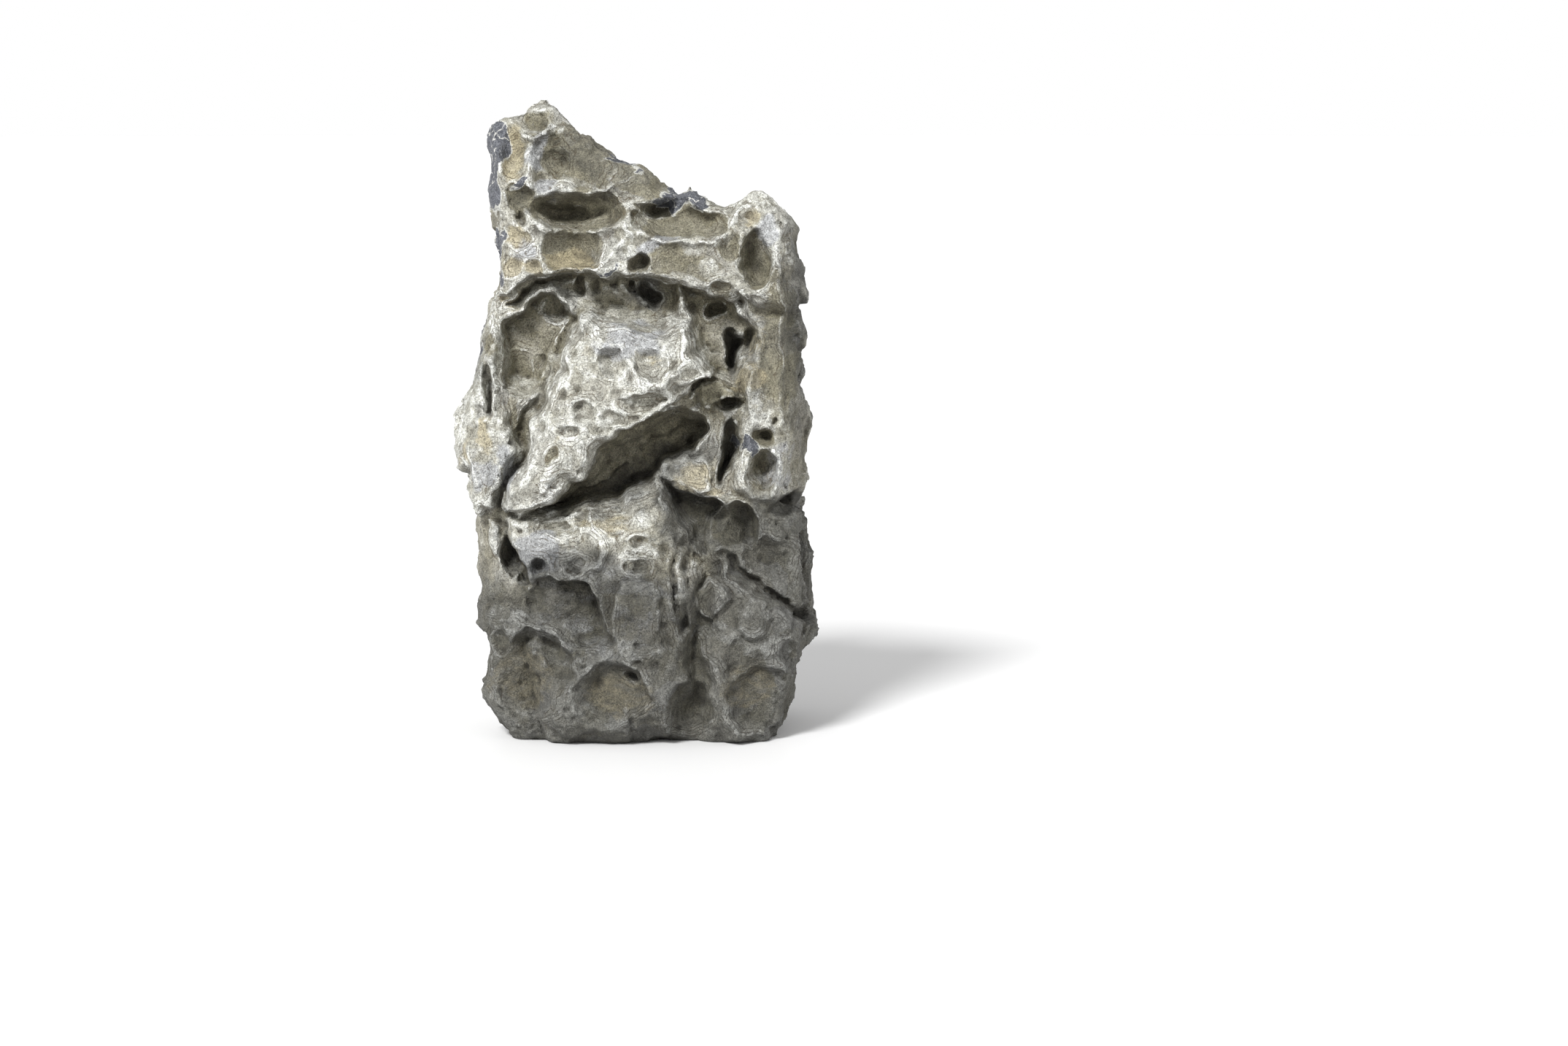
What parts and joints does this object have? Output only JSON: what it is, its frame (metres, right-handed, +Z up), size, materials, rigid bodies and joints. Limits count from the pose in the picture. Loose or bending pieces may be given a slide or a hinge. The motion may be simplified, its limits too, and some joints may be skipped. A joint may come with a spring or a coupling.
{
  "type": "seiryu stone",
  "caption": "Tall upright block of weathered grey limestone with a projecting boss, deep ledges, hollows and pits, standing on a flat foot.",
  "frame": {"origin": "on the standing plane, under the middle of the stone's box", "axes": "+Z up along the stone's height, -Y out of its face, +X to the right of the face"},
  "size_m": [0.1742, 0.1312, 0.3003],
  "materials": {
    "stone": "matt, weathered"
  },
  "bodies": {
    "root": {"seiryu_stone": "stone"}
  },
  "joints": []
}
